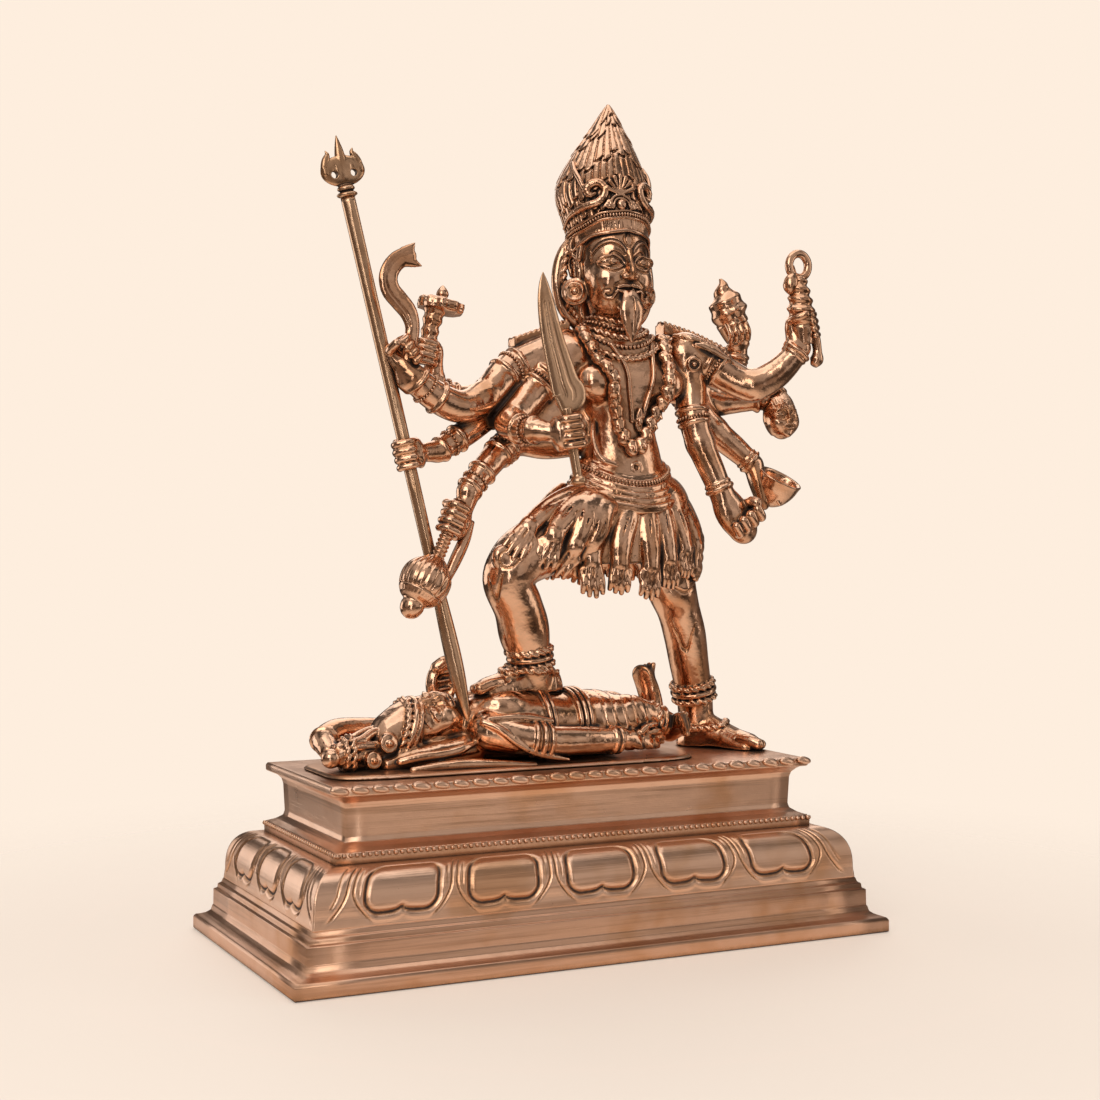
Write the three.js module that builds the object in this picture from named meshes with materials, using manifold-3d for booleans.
// Cast copper-bronze statue of a ten-armed goddess standing over a lying god, on a stepped
// lotus pedestal. Millimetres, +Z up, the front faces -Y, the origin is under the pedestal's middle.
import * as THREE from "three";
import { mergeVertices } from "three/addons/utils/BufferGeometryUtils.js";
import Module from "manifold-3d";

const wasm = await Module();
wasm.setup();

// Driving dimensions
const pedestalWidth = 246; // along X, at the bottom slab
const pedestalDepth = 129; // along Y, at the bottom slab
const slabHeight = 5;
const blockFoot = 9.9; // underside of the plain band above the slab
const blockTop = 16;
const lotusFoot = 20.8;
const lotusTop = 40.7;
const beadShelfTop = 45.2;
const dadoFoot = 48;
const dadoTop = 60;
const plateFoot = 64.6;
const plateTop = 68;
const blockInset = 6.3; // how far each tier stands in from the slab, on all four sides
const lotusInset = 9.8;
const shelfInset = 22.5;
const dadoInset = 28.6;
const plateInset = 23;
const petalsAlongFront = 5;
const petalsAlongSide = 3;
const petalRelief = 1.1;
const restGap = 0.3; // clearance between pieces that rest on or pass through each other

const statueTop = 333; // tip of the crown
const bedThickness = 2.2; // the thin mat under the lying figure
const bedBevel = 1.2;
const rodRadius = 2.6; // trident shaft
const tridentHole = 1.35; // radius of the two round holes through the trident's head
const tridentHoleReach = 4; // how far each hole is from the middle
const swordThickness = 2.6;
const swordGripRadius = 2.2;
const beltRows = 3;
const skirtArmCount = 12;
const garlandHeadCount = 12;
const crownLocks = 8;

// Where the main joints of the figures are
const headCentre = [33.5, 2, 265.5];
const crownRimHeight = 283;
const soleRight = 95.8; // underside of the foot that stands on the lying figure
const lyingY = -1;
const tridentFoot = [-35.3, -11, 84.5];
const tridentHead = [-77.1, 10, 289];
const tridentHandShare = 0.508; // where along the shaft the hand closes
const swordHilt = [1.3, -29.5, 184.5];
const swordTip = [-11.3, -26.5, 258.3];
const swordHandShare = 0.17;

const vec = (p) => new THREE.Vector3(p[0], p[1], p[2]);
const lerp = (a, b, t) => a.map((v, i) => v + (b[i] - v) * t);

// Solids from geometry

function solid(geometry) {
  const g = geometry.clone();
  g.deleteAttribute("normal");
  g.deleteAttribute("uv");
  const m = mergeVertices(g, 1e-4);
  return new wasm.Manifold(
    new wasm.Mesh({
      numProp: 3,
      vertProperties: new Float32Array(m.attributes.position.array),
      triVerts: new Uint32Array(m.index.array),
    }),
  );
}

const fuse = (solids) => solids.reduce((a, b) => a.add(b));

// Keeps the outermost shell only, so no void stays sealed between overlapping forms.
function outerShell(positions, index) {
  const parent = Array.from({ length: positions.length / 3 }, (_, i) => i);
  const root = (i) => {
    while (parent[i] !== i) {
      parent[i] = parent[parent[i]];
      i = parent[i];
    }
    return i;
  };
  for (let t = 0; t < index.length; t += 3) {
    parent[root(index[t])] = root(index[t + 1]);
    parent[root(index[t + 1])] = root(index[t + 2]);
  }
  const counts = new Map();
  for (let t = 0; t < index.length; t += 3) {
    const r = root(index[t]);
    counts.set(r, (counts.get(r) ?? 0) + 1);
  }
  const largest = [...counts.entries()].sort((a, b) => b[1] - a[1])[0][0];
  const kept = [];
  for (let t = 0; t < index.length; t += 3)
    if (root(index[t]) === largest) kept.push(index[t], index[t + 1], index[t + 2]);
  return kept;
}

function meshOf(name, made, material) {
  const out = made.getMesh();
  const flat = new Float32Array(out.numVert * 3);
  for (let i = 0; i < out.numVert; i++)
    for (let k = 0; k < 3; k++) flat[i * 3 + k] = out.vertProperties[i * out.numProp + k];
  const g = new THREE.BufferGeometry();
  g.setAttribute("position", new THREE.BufferAttribute(flat, 3));
  g.setIndex(outerShell(flat, out.triVerts));
  g.computeVertexNormals();
  const mesh = new THREE.Mesh(g, material);
  mesh.name = name;
  return mesh;
}

// Rows of points, each a closed loop of the same count, skinned and capped at both ends.
// A looped skin joins its last row to its first and has no caps.
function skin(rows, looped = false, capShift = 0) {
  const n = rows[0].length;
  const flat = [];
  const index = [];
  for (const row of rows) for (const p of row) flat.push(p.x, p.y, p.z);
  const last = looped ? rows.length : rows.length - 1;
  for (let r = 0; r < last; r++) {
    const s = ((r + 1) % rows.length) * n;
    for (let k = 0; k < n; k++) {
      const a = r * n + k;
      const b = r * n + ((k + 1) % n);
      const c = s + ((k + 1) % n);
      index.push(a, b, c, a, c, s + k);
    }
  }
  if (!looped)
    for (const end of [0, rows.length - 1]) {
      const middle = new THREE.Vector3();
      for (const p of rows[end]) middle.add(p);
      middle.divideScalar(n);
      if (end) middle.z += capShift;
      const c = flat.length / 3;
      flat.push(middle.x, middle.y, middle.z);
      for (let k = 0; k < n; k++) {
        const a = end * n + k;
        const b = end * n + ((k + 1) % n);
        if (end === 0) index.push(c, b, a);
        else index.push(c, a, b);
      }
    }
  const g = new THREE.BufferGeometry();
  g.setAttribute("position", new THREE.BufferAttribute(new Float32Array(flat), 3));
  g.setIndex(index);
  const made = solid(g);
  if (made.volume() > 0) return made;
  g.setIndex(index.map((_, i) => index[i - (i % 3) + ((3 - (i % 3)) % 3)]));
  return solid(g);
}

// A tube along stations [x, y, z, radius] or [x, y, z, halfAcross, halfDeep]. "front" is the
// direction that the depth half-width follows.
function limb(stations, sides = 6, front = [0, -1, 0]) {
  const centres = stations.map(vec);
  const rows = stations.map((s, i) => {
    const ahead = centres[Math.min(i + 1, stations.length - 1)];
    const behind = centres[Math.max(i - 1, 0)];
    const along = ahead.clone().sub(behind).normalize();
    const deep = vec(front).addScaledVector(along, -vec(front).dot(along)).normalize();
    const across = new THREE.Vector3().crossVectors(deep, along).normalize();
    const row = [];
    for (let k = 0; k < sides; k++) {
      const a = ((k + 0.5) / sides) * 2 * Math.PI;
      const p = centres[i].clone();
      p.addScaledVector(across, Math.cos(a) * s[3]);
      p.addScaledVector(deep, Math.sin(a) * (s[4] ?? s[3]));
      row.push(p);
    }
    return row;
  });
  return skin(rows);
}

function ball(centre, radii, across = 7, up = 4, turn = [0, 0, 0]) {
  const g = new THREE.SphereGeometry(1, across, up);
  g.rotateX(Math.PI / 2);
  g.scale(radii[0], radii[1], radii[2]);
  g.rotateX(turn[0]);
  g.rotateY(turn[1]);
  g.rotateZ(turn[2]);
  g.translate(centre[0], centre[1], centre[2]);
  return solid(g);
}

// Stations with a raised band between two places of the line, such as a bracelet.
// "where" counts stations, so 3.5 is halfway between the fourth and the fifth.
function banded(line, bands) {
  const point = (w) => {
    const i = Math.min(Math.floor(w), line.length - 2);
    return lerp(line[i], line[i + 1], w - i);
  };
  const marks = line.map((_, i) => [i, 1]);
  for (const [where, half, rise] of bands) {
    marks.push([where - half, 1], [where, rise]);
    if (where + half < line.length - 1.3) marks.push([where + half, 1]);
  }
  return marks
    .sort((a, b) => a[0] - b[0])
    .map(([w, rise]) => {
      const p = point(w);
      return [...p.slice(0, 3), ...p.slice(3).map((r) => r * rise)];
    });
}

// A closed cord through the points, whose thickness can swell at each station.
function cord(points, thickness, sides = 4, out = null) {
  const rows = points.map((p, i) => {
    const ahead = vec(points[(i + 1) % points.length]);
    const behind = vec(points[(i + points.length - 1) % points.length]);
    const along = ahead.sub(behind).normalize();
    const away = vec(out ? out(p) : [p[0], p[1], 0]);
    away.addScaledVector(along, -away.dot(along)).normalize();
    const side = new THREE.Vector3().crossVectors(along, away);
    const row = [];
    for (let k = 0; k < sides; k++) {
      const a = ((k + 0.5) / sides) * 2 * Math.PI;
      const q = vec(p);
      q.addScaledVector(away, Math.cos(a) * thickness(i));
      q.addScaledVector(side, Math.sin(a) * thickness(i));
      row.push(q);
    }
    return row;
  });
  return skin(rows, true);
}

// A level oval of points round [x, y] at height z; "dip" lowers its front.
function oval(x, y, z, wide, deep, count = 10, dip = 0) {
  const row = [];
  for (let k = 0; k < count; k++) {
    const a = ((k + 0.5) / count) * 2 * Math.PI;
    const front = Math.max(0, -Math.sin(a));
    row.push(new THREE.Vector3(x + wide * Math.cos(a), y + deep * Math.sin(a), z - dip * front ** 2));
  }
  return row;
}

// Pedestal

const lotusBends = [0, 0.44, 0.8]; // shares of the moulding's height where its face bends

// Inset and height of the lotus moulding's face at a share t from its foot to its top.
function lotusFace(t) {
  const a = t * (Math.PI / 2);
  const reach = shelfInset - lotusInset - 1.6;
  const rise = lotusTop - lotusFoot - 4;
  return [lotusInset + 0.4 + reach * (1 - Math.cos(a)) ** 1.25, lotusFoot + 4 + rise * Math.sin(a)];
}

// The moulding's outline as [inset, height], from the foot of the slab to the plate.
function pedestalOutline() {
  const lotus = [...lotusBends, 1].map(lotusFace);
  return [
    [0, 0],
    [0, slabHeight - 0.5],
    [0.8, slabHeight + 0.7],
    [2.6, slabHeight + 1.1],
    [blockInset - 1.5, slabHeight + 2.2],
    [blockInset, blockFoot],
    [blockInset + 0.2, blockTop],
    [blockInset + 1.2, blockTop + 2],
    [lotusInset - 0.8, lotusFoot - 1],
    [lotusInset, lotusFoot],
    ...lotus,
    [shelfInset, lotusTop + 0.8],
    [shelfInset, beadShelfTop - 0.8],
    [shelfInset + 1, beadShelfTop],
    [dadoInset, dadoFoot - 0.3],
    [dadoInset + 0.2, dadoFoot + 1],
    [dadoInset - 0.2, dadoTop],
    [dadoInset - 1, dadoTop + 2.4],
    [plateInset + 2.2, plateFoot - 0.3],
    [plateInset + 0.2, plateFoot],
    [plateInset, plateTop - 1],
    [plateInset + 0.6, plateTop],
  ];
}

function tier(inset, z) {
  const x = pedestalWidth / 2 - inset;
  const y = pedestalDepth / 2 - inset;
  return [
    new THREE.Vector3(-x, -y, z),
    new THREE.Vector3(x, -y, z),
    new THREE.Vector3(x, y, z),
    new THREE.Vector3(-x, y, z),
  ];
}

// One raised petal on the lotus moulding: a plate that follows the moulding's face.
function petal(middle, halfWidth, onFront, sign) {
  const reach = (onFront ? pedestalDepth : pedestalWidth) / 2;
  const bury = 1.4;
  const outline = [
    [0.6, 0.6],
    [1, 1],
    [0.7, 1],
  ];
  const rows = outline.map(([wide, lift], i) => {
    const t = lotusBends[i];
    const [inset, z] = lotusFace(t);
    const rise = t * petalRelief * 0.9;
    const place = (u, out, up) => {
      const d = sign * (reach - inset + out);
      const s = middle + u * halfWidth * wide;
      return onFront ? new THREE.Vector3(s, d, z + up) : new THREE.Vector3(d, s, z + up);
    };
    return [
      place(-1, -bury, 0),
      place(-0.75, petalRelief * lift, rise),
      place(0.75, petalRelief * lift, rise),
      place(1, -bury, 0),
    ];
  });
  return skin(rows);
}

function pedestal() {
  const petals = [];
  const row = (count, length, onFront, sign) => {
    const pitch = length / (count + 0.45);
    for (let k = 0; k < count; k++)
      petals.push(petal((k - (count - 1) / 2) * pitch, pitch * 0.42, onFront, sign));
  };
  for (const sign of [-1, 1]) {
    row(petalsAlongFront, pedestalWidth - 2 * lotusInset, true, sign);
    row(petalsAlongSide, pedestalDepth - 2 * lotusInset, false, sign);
  }
  return fuse([skin(pedestalOutline().map(([inset, z]) => tier(inset, z))), ...petals]);
}

// Hands

// A hand that closes round a bar: palm, four ridged fingers, and a thumb.
// "bar" runs along the bar to the index finger's side.
function grip(wrist, centre, bar, barRadius, size = 1, wristRadius = 4.4) {
  const w = vec(wrist);
  const c = vec(centre);
  const b = vec(bar).normalize();
  const reach = c.clone().sub(w);
  reach.addScaledVector(b, -reach.dot(b)).normalize();
  const side = new THREE.Vector3().crossVectors(b, reach);
  const thick = 1.9 * size;
  const around = barRadius + thick * 0.85;
  const inArm = w.clone().addScaledVector(c.clone().sub(w).normalize(), -2);
  const outward = (angle) =>
    side.clone().multiplyScalar(Math.sin(angle)).addScaledVector(reach, -Math.cos(angle));
  const ring = (middle, out, half, deep, ridged) => {
    const row = [];
    for (let k = 0; k <= 6; k++) {
      const u = k / 3 - 1;
      const ridge = k % 2 ? 0.4 : 1;
      const lift = ridged ? ridge : Math.sqrt(1 - (u * 0.92) ** 2);
      row.push(middle.clone().addScaledVector(b, u * half).addScaledVector(out, lift * deep));
    }
    for (const u of [0.8, -0.8])
      row.push(middle.clone().addScaledVector(b, u * half).addScaledVector(out, -0.85 * deep));
    return row;
  };
  const bend = (angle, half, deep, ridged) => {
    const out = outward(angle);
    return ring(c.clone().addScaledVector(out, around), out, half * size, deep * size, ridged);
  };
  const mitt = [
    ring(inArm, outward(0.6), wristRadius * 0.9, wristRadius * 0.9, false),
    bend(0.35, 6.6, 2.8, false),
    bend(1.5, 7.4, 2.1, true),
    bend(2.5, 7.4, 2, true),
    bend(3.6, 6.6, 1.6, true),
  ];
  const thumb = [0.3, -1.5].map((angle, i) => {
    const p = c.clone().addScaledVector(outward(angle), around + 0.4 + i);
    return [...p.addScaledVector(b, (3 + i * 1.5) * size).toArray(), thick * 1.15];
  });
  return skin(mitt).add(limb(thumb, 4, b.toArray()));
}

// The standing figure

// Neck, shoulders, chest, waist, and the belt's stepped rows.
function torso() {
  const rows = [
    oval(33, 4, 254, 7.8, 8),
    oval(33.4, 4, 244, 8.4, 8.6),
    oval(34.5, 3.6, 241.5, 14, 11),
    oval(36.5, 3, 236, 20, 12.6),
    oval(38, 2, 230.5, 23, 13),
    oval(38.6, 1.5, 221, 21.5, 14),
    oval(37.8, 1.5, 210.5, 17.6, 12.8),
    oval(37.3, 2, 199.5, 15.8, 11.6),
    oval(38, 2, 191, 17.6, 12.8),
  ];
  for (let k = 0; k < beltRows; k++) {
    const wide = 20.4 + k * 4.2;
    const z = 189 - k * 5.7;
    rows.push(oval(38.4, 2, z, wide + 1.2, wide * 0.7 + 1.2, 10, 3.5));
    rows.push(oval(38.4, 2, z - 3.6, wide + 1.6, wide * 0.7 + 1.4, 10, 3.5));
  }
  rows.push(oval(37.5, 2, 168, 28, 18));
  return skin(rows);
}

function breasts() {
  const right = ball([21, -8.5, 219.5], [8, 8, 8.2], 7, 5);
  const left = ball([54, -9, 219], [8, 8, 8.2], 7, 5);
  return right.add(left);
}

// The lower legs carry two anklets each.
function legs() {
  const right = banded(
    [
      [30, 0, 163, 17, 16],
      [12, -3, 158, 15, 14.5],
      [-3, -6, 152.8, 13.4, 13],
      [-14.5, -8, 147.8, 11, 11],
      [-18, -9, 142, 10.4, 10.6],
      [-12.3, -7, 129.3, 10.3, 10.6],
      [-8.6, -5.5, 118.6, 9.6, 9.8],
      [-6, -4.5, 110, 8.7, 9],
      [-4.4, -3.2, 98.5, 8.2, 8.4],
    ],
    [
      [6.9, 0.3, 1.14],
      [7.6, 0.2, 1.1],
    ],
  );
  const left = banded(
    [
      [52, 2, 166, 17, 16],
      [58, 3, 148, 13, 13],
      [62.4, 3, 135, 10.4, 10.6],
      [66, 4.2, 127, 9.2, 9.6],
      [70.9, 7, 115.8, 8.7, 9],
      [74.4, 9.5, 104.2, 8.6, 8.8],
      [79, 12, 88, 8.4, 8.8],
      [80.5, 12.5, 76, 8, 8.6],
    ],
    [
      [5.6, 0.2, 1.12],
      [6.1, 0.2, 1.1],
    ],
  );
  return limb(right, 7).add(limb(left, 7));
}

// A bare foot from heel to toes; the five toes are one ridged block.
function foot(heel, toe, sole, width) {
  const h = vec([heel[0], heel[1], sole]);
  const t = vec([toe[0], toe[1], sole]);
  const along = t.clone().sub(h);
  const side = new THREE.Vector3(-along.y, along.x, 0).normalize();
  const place = (share, u, z) => {
    const p = h.clone().addScaledVector(along, share).addScaledVector(side, u * width);
    return p.setZ(sole + z);
  };
  const rows = [
    [-0.02, 0.75, 9],
    [0.12, 0.96, 14.5],
    [0.5, 1, 12],
    [0.8, 1.12, 7.4],
  ].map(([share, wide, tall]) =>
    [
      [-0.85, 0],
      [0.85, 0],
      [1, 0.35],
      [0.66, 0.85],
      [0, 1],
      [-0.66, 0.85],
      [-1, 0.35],
    ].map(([u, z]) => place(share, u * wide, z * tall)),
  );
  const toes = [
    [0.76, 1],
    [0.97, 0.74],
  ].map(([share, tall]) => {
    const row = [place(share, -1.08, 0), place(share, 1.08, 0)];
    for (let k = 10; k >= 0; k--) {
      const onToe = k % 2;
      row.push(place(share + (onToe ? 0.02 : -0.03), (k / 5 - 1) * 1.08, (onToe ? 6.4 : 4.4) * tall));
    }
    return row;
  });
  return skin(rows).add(skin(toes));
}

// The skirt of severed arms: each hangs from the belt, narrows at the wrist and ends in a hand.
function skirt() {
  const pointsPerArm = 2;
  const count = skirtArmCount * pointsPerArm;
  const stations = [
    [0, 0.02],
    [0.3, 0.08],
    [0.72, 0.045],
    [0.86, 0.09],
    [1, 0.03],
  ];
  const rows = stations.map(([t, ridge]) => {
    const row = [];
    for (let k = 0; k < count; k++) {
      const a = ((k + 0.5) / count) * 2 * Math.PI;
      const arm = Math.floor(k / pointsPerArm);
      const valley = k % pointsPerArm === 0;
      const left = Math.max(0, -Math.cos(a));
      const right = Math.max(0, Math.cos(a));
      const quick = Math.sin((Math.min(1, t * 1.6) * Math.PI) / 2) * (1 - 0.14 * t);
      const flare = quick * (1 - left) + t * left;
      const wide = 28 + 18 * flare;
      const deep = 18 + 3.6 * flare;
      const push = valley ? 1 - ridge * 1.4 : 1 + ridge * 0.4;
      const drop = 37 + (arm % 3) * 2.2 - 16 * left ** 1.6 - 5 * right - (valley ? 3 * t : 0);
      row.push(
        new THREE.Vector3(
          36.5 - 7.5 * flare + wide * push * Math.cos(a),
          2 - 2 * flare + deep * push * Math.sin(a),
          174 + 2 * (1 - t) - t * drop,
        ),
      );
    }
    return row;
  });
  return skin(rows, false, 12);
}

function head() {
  const [x, y, z] = headCentre;
  const skull = limb(
    [
      [x - 0.3, y - 9.5, z - 20.5, 4, 4],
      [x, y - 6.5, z - 17, 8.6, 9],
      [x, y - 3.5, z - 11, 12, 12.4],
      [x, y - 1.5, z - 3.5, 13.8, 14.8],
      [x, y, z + 6, 14.6, 15.8],
      [x, y + 1.5, z + 19, 14, 15],
    ],
    9,
  );
  const nose = limb(
    [
      [x, y - 14, z + 6, 1.4, 1.6],
      [x, y - 17, z - 4.5, 2.8, 2.4],
      [x, y - 14.6, z - 6.8, 2.2, 1.4],
    ],
    4,
  );
  const tongue = limb(
    [
      [x, y - 12, z - 11, 3, 2],
      [x, y - 16.2, z - 14.5, 4.4, 1.8],
      [x + 0.3, y - 17, z - 23, 4, 1.6],
      [x + 0.5, y - 16.4, z - 30.5, 0.8, 0.8],
    ],
    5,
  );
  const sides = [
    [x - 17, y + 3.5],
    [x + 18, y - 1.5],
  ].map(([px, py]) => {
    const out = Math.sign(px - x);
    const earring = limb(
      [
        [px - out * 5, py, z - 10.5, 5, 5],
        [px + out * 1.6, py, z - 10.5, 4.8, 4.8],
      ],
      6,
      [0, 0, 1],
    );
    const lock = limb(
      [
        [px, py + 3, z + 13, 2.6, 3],
        [px - out * 0.5, py + 3, z + 4, 4.6, 4.6],
        [px - out * 1.5, py + 4, z - 8, 4, 4.6],
        [px - out * 2, py + 4, z - 17, 2.4, 3],
      ],
      5,
    );
    return earring.add(lock);
  });
  return fuse([skull, nose, tongue, ...sides]);
}

// The tall crown: beaded rim, then locks that rise in ridges to the tip, and a leaf in front.
function crown() {
  const z = crownRimHeight;
  const profile = [
    [-4, 33, 3.5, 15.6, 0],
    [2.6, 33, 4, 16.4, 0],
    [3.6, 32.6, 4.5, 17.4, 0],
    [10.5, 31.8, 7.8, 19.2, 0.06],
    [18, 32.2, 8, 18.4, 0.07],
    [27, 32.7, 7.5, 14.9, 0.08],
    [38, 33.5, 6.7, 7.8, 0.09],
    [statueTop - z, 34, 6, 0.8, 0],
  ];
  const rows = profile.map(([up, x, y, radius, ridge]) => {
    const row = [];
    for (let k = 0; k < crownLocks * 2; k++) {
      const a = (k / crownLocks) * Math.PI;
      const r = radius * (k % 2 ? 1 - ridge : 1);
      row.push(new THREE.Vector3(x + Math.cos(a) * r, y + Math.sin(a) * r, z + up));
    }
    return row;
  });
  const leaf = limb(
    [
      [32.6, -10.8, z + 3, 5, 2.4],
      [32.2, -12.4, z + 10, 5.6, 2.2],
      [32.2, -10.6, z + 18.5, 1, 1],
    ],
    5,
  );
  return skin(rows).add(leaf);
}

// Loose hair: a wing over each shoulder's back and a tress down the spine.
function hair() {
  const wings = [-1, 1].map((s) => {
    const reach = s < 0 ? 1 : 1.3;
    const rows = [
      [0, 258, 228, 12, 7],
      [16, 248, 226, 12.5, 5.5],
      [30, 243.5, 228, 12.5, 4],
      [43, 238.5, 231, 12, 2.4],
    ].map(([dx, high, low, y, half]) => [
      new THREE.Vector3(36 + s * dx * reach, y - half, high),
      new THREE.Vector3(36 + s * dx * reach, y + half, high - 1),
      new THREE.Vector3(36 + s * dx * reach, y + half, low),
      new THREE.Vector3(36 + s * dx * reach, y - half, low),
    ]);
    return skin(rows);
  });
  const tress = skin([
    oval(33.5, 15, 284, 13, 5.5, 8),
    oval(35, 16, 262, 14.5, 6, 8),
    oval(38, 15.5, 234, 15, 5.5, 8),
    oval(40, 15.5, 208, 9, 4, 8),
    oval(41, 16, 194, 3.4, 2, 8),
  ]);
  return fuse([...wings, tress]);
}

// The long garland of heads: a cord that swells at each head.
function garland() {
  const path = new THREE.CatmullRomCurve3(
    [
      [19.5, 3, 240.5],
      [18.5, -8, 235],
      [22.5, -14, 227],
      [27, -15.5, 219],
      [28, -14.5, 209],
      [31, -12.5, 198],
      [37, -12.5, 188.5],
      [43.5, -12.5, 198],
      [49.5, -14.5, 209],
      [51, -15.8, 219],
      [52, -12, 229],
      [54, 0, 238.5],
    ].map(vec),
  );
  const steps = garlandHeadCount * 2;
  const stations = [];
  for (let i = 0; i <= steps; i++) {
    const swell = i % 2 ? 4 : 2.4;
    stations.push([...path.getPointAt(i / steps).toArray(), swell]);
  }
  return limb(stations, 4);
}

// Each arm runs from the shoulder to the wrist, as stations [x, y, z, radius].
const armLines = {
  rightSword: [
    [15, 2, 229, 8.6],
    [3, 1.5, 220, 7.4],
    [-7.5, -0.5, 209, 6.6],
    [-15, -5, 201.5, 6.2],
    [-14.5, -14, 198.5, 5.4],
    [-11.5, -22.5, 198, 4.6],
  ],
  rightTrident: [
    [15, 9, 222, 7.5],
    [-2, 9.5, 213, 6.4],
    [-16, 8.5, 207, 6],
    [-31, 4.5, 197, 5.2],
    [-43, 2, 190, 4.6],
  ],
  rightMace: [
    [24, 9, 200, 10],
    [8, 10, 196, 8],
    [-6, 8.5, 195, 6.2],
    [-23, 1.5, 183.5, 5.4],
    [-32, -2, 174.5, 4.8],
  ],
  rightChopper: [
    [14, 5, 231, 9],
    [0, 5, 226, 7.4],
    [-12, 4, 221, 6.8],
    [-24, 1.5, 211, 6.6],
    [-34, -0.5, 207.5, 6.6],
    [-46, -2, 211.5, 6.2],
    [-55, -3, 218, 6],
  ],
  rightDiscus: [
    [15, 11, 233, 8],
    [-9, 13.5, 220, 6],
    [-21, 12.5, 212, 5.8],
    [-33, 10.5, 212, 5.2],
    [-43, 8.5, 217.5, 4.4],
  ],
  leftFist: [
    [66, -1, 229, 8.6],
    [67, -4, 217, 6.8],
    [66.5, -7, 206, 6.2],
    [68.5, -9.5, 195, 5.9],
    [72.5, -12, 184, 5.4],
    [76, -14, 174.5, 5],
  ],
  leftBowl: [
    [70, 8, 221, 7.5],
    [77, 9.5, 211, 6.3],
    [86, 8.5, 201.5, 5.8],
    [95, 5.5, 193.5, 5.2],
    [102, 3, 187, 4.4],
  ],
  leftHead: [
    [70, 11, 225, 7.5],
    [80, 12, 217, 6.3],
    [90, 11, 214, 5.8],
    [99, 8, 214.5, 5.2],
    [107, 4.5, 215, 4.8],
  ],
  leftNoose: [
    [66, -1, 232, 9],
    [75, -5, 228.5, 7.4],
    [83, -9.5, 222.5, 6.8],
    [91, -14, 219, 6.8],
    [98, -17.5, 222.5, 6.4],
    [104.5, -20.5, 229, 5.8],
    [108.5, -22, 234.5, 5.2],
  ],
  leftConch: [
    [68, 12, 235, 8],
    [80, 15.5, 229.5, 6.6],
    [92, 18, 224.5, 6],
    [101, 19, 225.5, 5.8],
    [103, 18, 236, 4.8],
  ],
};
const wristOf = (name) => armLines[name][armLines[name].length - 1].slice(0, 3);
const withArmlets = ["rightSword", "rightChopper", "leftFist", "leftNoose"];

function arms() {
  const pieces = [];
  for (const [name, line] of Object.entries(armLines)) {
    const bands = [[line.length - 1.2, 0.14, 1.28]];
    if (withArmlets.includes(name)) bands.unshift([1.8, 0.16, 1.2]);
    pieces.push(limb(banded(line, bands), withArmlets.includes(name) ? 6 : 5));
  }
  return fuse(pieces);
}

// What the hands hold, cast in one with them

function mace() {
  const top = [-36.5, -5, 170.5];
  const neck = [-48.6, -10.6, 148];
  const end = [-62.3, -13.6, 126.6];
  const knob = [
    [0, 4.6],
    [0.12, 8.2],
    [0.38, 9.8],
    [0.62, 8.2],
    [0.76, 4.2],
    [0.93, 3.6],
    [1, 0.9],
  ];
  return limb(
    [
      [...top, 2.2],
      [...lerp(top, neck, 0.94), 2.8],
      ...knob.map(([t, r]) => [...lerp(neck, end, t), r]),
    ],
    7,
  );
}

// A curved chopper with a forked end, on a short handle.
function chopper() {
  const y = -4;
  const spine = [
    [-56.5, 236, 3.4, 1.8],
    [-58.5, 244.5, 4.4, 1.7],
    [-64, 248.8, 3.6, 1.6],
    [-66, 253.5, 3.2, 1.6],
    [-63, 259.2, 3.2, 1.5],
    [-58, 262.6, 3.8, 1.5],
    [-55, 264, 4.6, 1.4],
  ];
  const blade = limb(spine.map(([x, z, across, deep]) => [x, y, z, across, deep]), 5);
  const horns = [
    [-51, 260.4],
    [-54.5, 269],
  ].map(([x, z]) => limb([[-57, y, 263.4, 2.6, 1.4], [x, y, z, 0.5, 0.5]], 4));
  const handle = limb(
    [
      [-58.5, y, 221, 2.4],
      [-56.5, y, 238, 2.8],
    ],
    5,
  );
  return fuse([blade, handle, ...horns]);
}

function discus() {
  const y = 6.5;
  const stem = limb(
    [
      [-45.5, y, 226, 3.6],
      [-42, y, 247, 4],
    ],
    6,
  );
  const disc = new THREE.CylinderGeometry(8.6, 8.6, 3.6, 10);
  disc.rotateX(Math.PI / 2);
  disc.rotateY(0.12);
  disc.translate(-39.5, y, 247.8);
  const knob = limb(
    [
      [-39.5, y, 248, 3.2],
      [-39.8, y, 255, 0.5],
    ],
    5,
  );
  return fuse([stem, solid(disc), knob]);
}

// A coiled noose: bound stem, an eye above it, a bud beside the eye and a hanging tail.
function noose() {
  const y = -23.5;
  const eye = [];
  const turns = 7;
  for (let k = 0; k < turns; k++) {
    const a = (k / turns) * 2 * Math.PI;
    eye.push([107 + 4.4 * Math.cos(a), y, 267.6 + 5 * Math.sin(a)]);
  }
  const stem = [
    [109.5, y, 236, 4.6],
    [108.5, y, 246, 6],
    [107.5, y, 255, 4.8],
    [107.5, y, 263.5, 3],
  ];
  const bud = [
    [103.5, y, 257.5, 2.8],
    [104.6, y, 269, 0.6],
  ];
  const tail = [
    [113, y, 243, 2.8],
    [116.2, y, 235, 2.4],
    [115.8, y, 227.5, 2.6],
  ];
  return fuse([
    limb(stem, 6),
    cord(eye, () => 2, 4, (p) => [p[0] - 107, 0, p[2] - 267.6]),
    limb(bud, 4),
    limb(tail, 5),
  ]);
}

function conch() {
  const y = 18;
  const whorls = [
    [102.5, y, 239, 3],
    [101, y, 246, 6],
    [98.6, y, 254, 7.8],
    [97.2, y, 259.5, 6],
    [95, y, 267, 0.8],
  ];
  return limb(whorls, 7);
}

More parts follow.
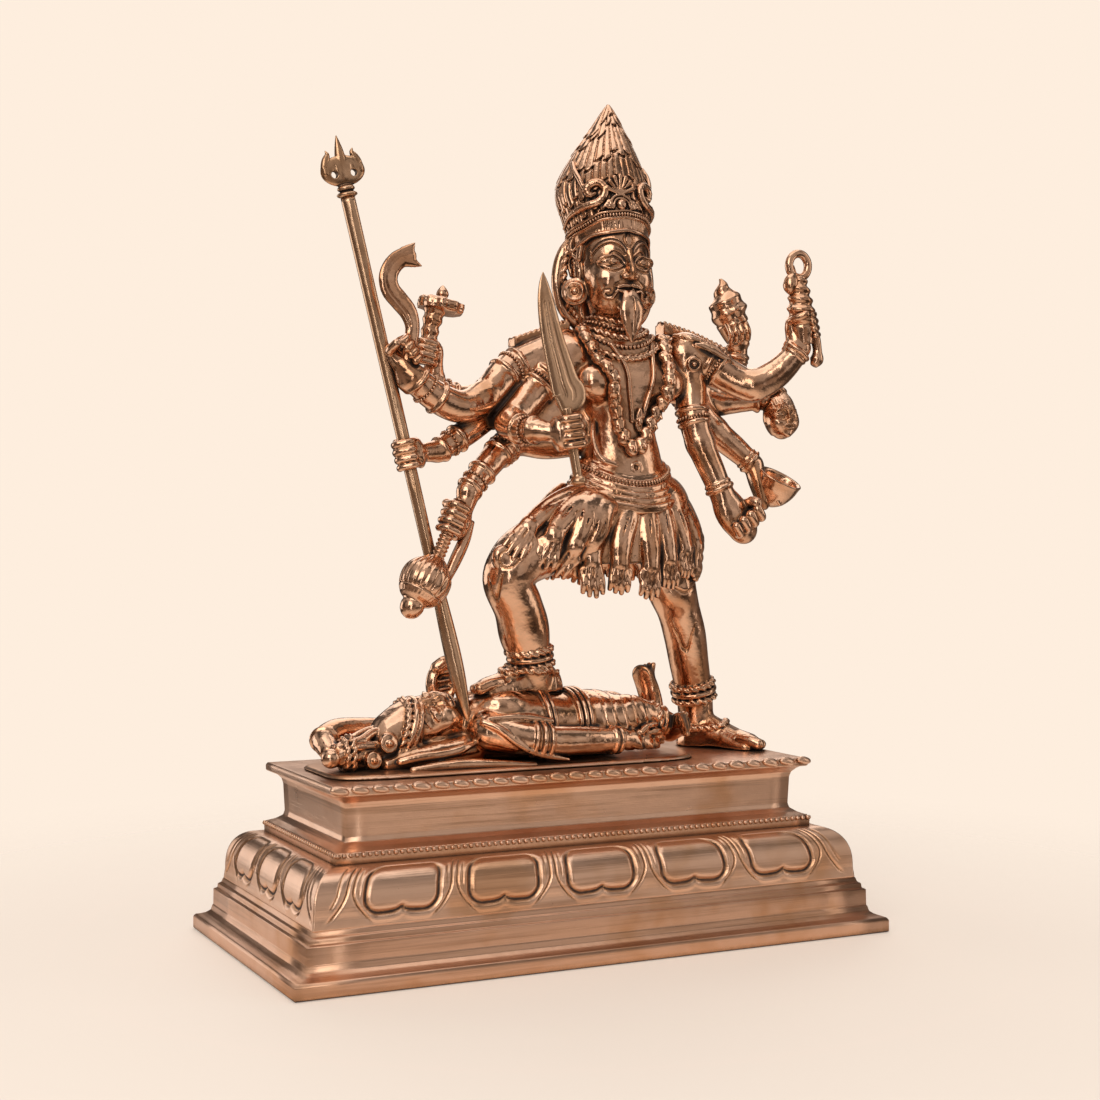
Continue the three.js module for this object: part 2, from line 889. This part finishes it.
function heldHead() {
  const [x, y, z] = [114, 1, 207.5];
  const nose = [
    [x - 1, y - 5.4, z + 1.5, 0.8],
    [x - 1, y - 7.2, z - 2, 1.3],
  ];
  const skull = ball([x, y, z], [6.4, 6.4, 8.8], 7, 5);
  const knot = ball([x - 1, y + 0.5, z + 10], [3, 3, 2.8], 5, 3);
  return fuse([skull, knot, limb(nose, 4)]);
}

// The lower left hand, closed with the palm outwards.
function lowFist() {
  const palm = [
    [76, -14, 174.5, 4.6],
    [80, -15, 167, 7.6, 5.4],
    [85.5, -16.5, 158, 6, 4.6],
  ];
  return limb(palm, 5).add(grip([80, -12, 166], [83.5, -20.5, 162.5], [0.75, -0.1, 0.55], 1, 1.05));
}

// The skull bowl, hollow and tilted towards the front, on an open palm.
function skullBowl() {
  const half = (radius, squash, deep, sides) =>
    skin(
      [0.1, 0.75, 1.57].map((a) => {
        const r = radius * Math.sin(a);
        return oval(0, 0, -deep * Math.cos(a), r, r * squash, sides);
      }),
    );
  const bowl = half(9.8, 0.84, 13, 9).subtract(half(7.8, 0.82, 9, 9).translate([0, 0, 0.6]));
  const palm = [
    [102, 3, 187, 4.2],
    [103.5, 2, 181, 6.4, 4.6],
    [105, 0.5, 172, 5.6, 3.6],
  ];
  return bowl.rotate([28, 18, 0]).translate([111.6, -3, 181]).add(limb(palm, 5));
}

// Trident and sword, the two pieces that are made apart

const tridentLine = (t) => lerp(tridentFoot, tridentHead, t);
const tridentAxis = vec(tridentHead).sub(vec(tridentFoot)).normalize();
const swordAxis = vec(swordTip).sub(vec(swordHilt)).normalize();

function trident() {
  const shaft = limb(
    [
      [...tridentLine(0), rodRadius * 0.35],
      [...tridentLine(0.05), rodRadius * 0.88],
      [...tridentLine(1), rodRadius * 1.1],
    ],
    7,
  );
  const lean = Math.atan2(tridentAxis.x, tridentAxis.z);
  const [x, y, z] = tridentHead;
  const at = (u, h, a, b = a) => [
    x + u * Math.cos(lean) + h * Math.sin(lean),
    y,
    z - u * Math.sin(lean) + h * Math.cos(lean),
    a,
    b,
  ];
  const collar = limb([at(0, -2.5, 2.8), at(0, -1, 3.9), at(0, 1, 3.9), at(0, 2.5, 3), at(0, 4, 3.4)], 7);
  const middle = limb([at(0, 2, 2, 1.6), at(0, 12, 2, 1.6), at(0, 20, 0.3, 0.3)], 5);
  const prongs = [-1, 1].map((s) =>
    limb(
      [
        at(s * 0.6, 3, 1.8, 1.4),
        at(s * 4.8, 4.6, 1.9, 1.4),
        at(s * 7.2, 8.4, 1.9, 1.4),
        at(s * 5.4, 12, 1.6, 1.3),
        at(s * 3.6, 13.6, 1.2, 0.9),
        at(s * 4.6, 16.4, 0.4, 0.4),
      ],
      5,
    ),
  );
  const plate = limb([at(0, 2.5, 3.2, 1.3), at(0, 4.8, 6.6, 1.3), at(0, 9, 7, 1.3), at(0, 12, 5, 1)], 8);
  const holes = [-1, 1].map((s) => {
    const [hx, hy, hz] = at(s * tridentHoleReach, 7.4, 0);
    const ends = [-1, 1].map((t) => [hx, hy + t * 4, hz, tridentHole]);
    return limb(ends, 8, [1, 0, 0]);
  });
  return fuse([shaft, collar, middle, plate, ...prongs]).subtract(fuse(holes));
}

function sword() {
  const across = new THREE.Vector3(1, 0, 0).addScaledVector(swordAxis, -swordAxis.x).normalize();
  const deep = new THREE.Vector3().crossVectors(swordAxis, across);
  const at = (up, u) => {
    const p = vec(swordHilt).addScaledVector(swordAxis, up).addScaledVector(across, u);
    return p.toArray();
  };
  const handle = limb(
    [
      [...at(-8, 0), 1.6],
      [...at(-6.5, 0), 3.2],
      [...at(-4.6, 0), 3],
      [...at(-3.6, 0), swordGripRadius * 0.85],
      [...at(22, 0), swordGripRadius],
    ],
    8,
    deep.toArray(),
  );
  const profile = [
    [20.5, -0.3, 2.8],
    [23.5, 1.4, 6.2],
    [26.5, 2, 7.2],
    [34, 1, 6],
    [46, -0.4, 5],
    [59, -1, 4],
    [68.5, -0.6, 2.4],
    [74.8, 0, 0.5],
  ];
  const blade = limb(
    profile.map(([up, shift, w]) => [...at(up, shift), w, Math.min(swordThickness / 2, w * 0.8)]),
    6,
    deep.toArray(),
  );
  return handle.add(blade);
}

function standingFigure() {
  const body = fuse([torso(), breasts(), legs(), skirt(), hair(), arms(), garland(), head(), crown()]);
  const feet = foot([6.5, -1.5], [-33, -6], soleRight, 7).add(
    foot([74, 18], [98.6, -14.6], plateTop + restGap, 7.2),
  );
  const onSword = lerp(swordHilt, swordTip, swordHandShare);
  const onTrident = tridentLine(tridentHandShare);
  const hands = fuse([
    grip(wristOf("rightSword"), onSword, swordAxis.toArray(), swordGripRadius + restGap, 1.05),
    grip(wristOf("rightTrident"), onTrident, tridentAxis.toArray(), rodRadius + restGap, 1.05),
    grip(wristOf("rightMace"), [-40, -6, 163.5], [0.42, 0.14, 0.9], 2.4, 1.1),
    grip(wristOf("rightChopper"), [-59, -4.5, 227], [-0.6, 0, 0.8], 2.4, 1.05, 5),
    grip(wristOf("rightDiscus"), [-46, 6.5, 228.5], [0.2, 0, 0.95], 3, 0.8),
    grip(wristOf("leftNoose"), [110, -23.5, 243], [-0.25, 0, 0.97], 4, 1, 4.8),
    grip(wristOf("leftConch"), [101.4, 18, 244], [0.95, -0.1, 0.2], 4.4, 0.95),
    grip(wristOf("leftHead"), [112, 2, 215], [0.2, 0.1, 0.97], 2.4, 0.8),
  ]);
  const held = fuse([mace(), chopper(), discus(), noose(), conch(), heldHead(), lowFist(), skullBowl()]);
  return fuse([body, feet, hands, held]);
}

// The lying figure, face up, head towards -X

function lyingFigure() {
  const base = plateTop + restGap;
  const z = (h) => base + h;
  const y = (v) => lyingY + v;
  const up = [0, 0, 1];
  const outline = [
    [-95, -24],
    [-40, -29],
    [30, -30],
    [58, -22],
    [60, 12],
    [30, 24],
    [-40, 26],
    [-92, 22],
  ];
  const bed = skin(
    [0, bedThickness].map((h, i) =>
      outline.map(([px, py]) =>
        new THREE.Vector3(px - Math.sign(px) * i * bedBevel, py - Math.sign(py) * i * bedBevel, z(h)),
      ),
    ),
  );
  const trunkRows = [
    [-36, y(0), z(15), 8, 7],
    [-30, y(0), z(14.5), 16.5, 11.5],
    [-18, y(-1), z(15), 19, 14],
    [-5, y(-1), z(15), 18, 13.6],
    [-3, y(-1), z(15), 19, 14.6],
    [-1, y(-1), z(14.8), 17.4, 13.2],
    [9, y(-1), z(14.6), 15.6, 12.4],
    [11, y(-1), z(14.6), 17.2, 13.4],
    [15, y(-1), z(14.4), 15.8, 12.2],
  ];
  const foldCount = 2;
  for (let k = 0; k < foldCount; k++) {
    const x = 19 + k * 7;
    trunkRows.push([x, y(-1), z(14.2), 17, 13]);
    trunkRows.push([x + 3.5, y(-1), z(14), 15.8, 12]);
  }
  const trunk = limb(trunkRows, 7, up);
  const legPairs = [
    [-8.5, -6.5],
    [8.5, 9],
  ];
  const shins = legPairs.map(([hip, ankle]) =>
    limb(
      banded(
        [
          [26, y(hip), z(15), 8.5, 10.5],
          [38, y(hip), z(15), 7.6, 9.4],
          [47, y(ankle), z(15.5), 5.8, 7],
          [56, y(ankle), z(14), 5.2, 5.6],
        ],
        [[2.4, 0.16, 1.24]],
      ),
      6,
      up,
    ),
  );
  const feet = legPairs.map(([, ankle]) =>
    limb(
      [
        [54.5, y(ankle), z(6), 4.6, 6],
        [54, y(ankle), z(18), 5.2, 5],
        [50.5, y(ankle), z(28), 5.6, 3],
        [48.5, y(ankle), z(36), 4.4, 1.8],
      ],
      5,
      [1, 0, 0],
    ),
  );
  const neck = [
    [-42, y(0), z(15.5), 6.6],
    [-31, y(0), z(15.5), 7.5],
  ];
  const nose = [
    [-52, y(0), z(26), 1.6, 1.6],
    [-47, y(0), z(28.6), 2.2, 2],
    [-45, y(0), z(26.5), 2, 1.4],
  ];
  const headPart = fuse([
    ball([-48.5, y(0), z(17)], [11.5, 10.5, 10.5], 8, 5),
    limb(neck, 6, up),
    limb(nose, 4, up),
    limb(
      [
        [-53.5, y(0), z(16.2), 11, 11],
        [-57, y(0), z(15.2), 12.2, 12.2],
        [-61, y(-0.5), z(13.5), 11.4, 11.4],
        [-72, y(-2), z(10.2), 11.4, 9.6],
        [-80, y(-5), z(8.6), 8.6, 7.4],
        [-86, y(-8), z(7.6), 4.4, 4.4],
        [-89, y(-12), z(7.4), 2.6, 2.6],
      ],
      7,
      up,
    ),
    ball([-90.5, y(-14.5), z(7.4)], [4.4, 4.4, 4.4], 6, 4),
  ]);
  const raisedArm = limb(
    [
      [-32, y(16), z(11), 6.4],
      [-50, y(19), z(11), 5.6],
      [-70, y(16), z(13), 5.2],
      [-84, y(9), z(13.5), 5.2],
      [-91.5, y(0), z(11), 4.8],
      [-91, y(-10), z(6), 3.8],
    ],
    5,
    up,
  );
  const restingArm = limb(
    banded(
      [
        [-30, y(-15), z(13), 7.4],
        [-17, y(-20), z(11), 6.4],
        [-4, y(-22), z(9.6), 5.8],
        [17, y(-20.5), z(8.6), 5.2],
        [30, y(-18.4), z(8), 4.4],
        [38, y(-17), z(7.4), 5.4],
        [48, y(-15.5), z(7), 2.6],
      ],
      [
        [1.7, 0.2, 1.16],
        [3.7, 0.14, 1.2],
      ],
    ),
    5,
    up,
  );
  const cobra = limb(
    [
      [-36, y(11), z(12), 3.6],
      [-38, y(14), z(20), 3.2],
      [-39.5, y(14), z(27), 6, 2.8],
      [-40, y(13), z(34), 6.4, 2.6],
      [-39, y(10.5), z(39), 3.6, 2.4],
      [-38.5, y(7), z(39), 1.4],
    ],
    5,
    [0, -1, 0.2],
  );
  const made = fuse([bed, trunk, ...shins, ...feet, headPart, raisedArm, restingArm, cobra]);
  const below = new THREE.BoxGeometry(pedestalWidth, pedestalDepth, plateTop);
  below.translate(0, 0, base - plateTop / 2);
  return made.subtract(solid(below));
}

// Clearances, so that the pieces touch nowhere

const trodden = new THREE.BoxGeometry(50, 22, 30);
trodden.translate(-13, -3.8, soleRight - restGap + 15);
const rodSpace = limb(
  [
    [...tridentLine(-0.02), rodRadius * 1.15 + restGap],
    [...tridentLine(1), rodRadius * 1.25 + restGap],
  ],
  6,
);
const hiltRadius = swordGripRadius * 1.15 + restGap;
const hiltSpace = limb(
  [
    [...lerp(swordHilt, swordTip, -0.03), hiltRadius],
    [...lerp(swordHilt, swordTip, 0.29), hiltRadius],
  ],
  6,
);
const heelSpace = limb(
  [
    [80, 9, plateTop, 13, 13],
    [80, 9, plateTop + 24, 13, 13],
  ],
  8,
);

const lying = lyingFigure().subtract(solid(trodden)).subtract(rodSpace).subtract(heelSpace);
const goddess = standingFigure().subtract(rodSpace).subtract(hiltSpace);

const polishedCopper = new THREE.MeshStandardMaterial({ color: 0xb8734f, metalness: 1, roughness: 0.22 });
const polishedBrass = new THREE.MeshStandardMaterial({ color: 0xa8834f, metalness: 1, roughness: 0.3 });

const statue = new THREE.Group();
statue.add(meshOf("pedestal", pedestal(), polishedCopper));
statue.add(meshOf("lying_figure", lying, polishedCopper));
statue.add(meshOf("standing_figure", goddess, polishedCopper));
statue.add(meshOf("trident", trident(), polishedBrass));
statue.add(meshOf("sword", sword(), polishedBrass));

export default statue;
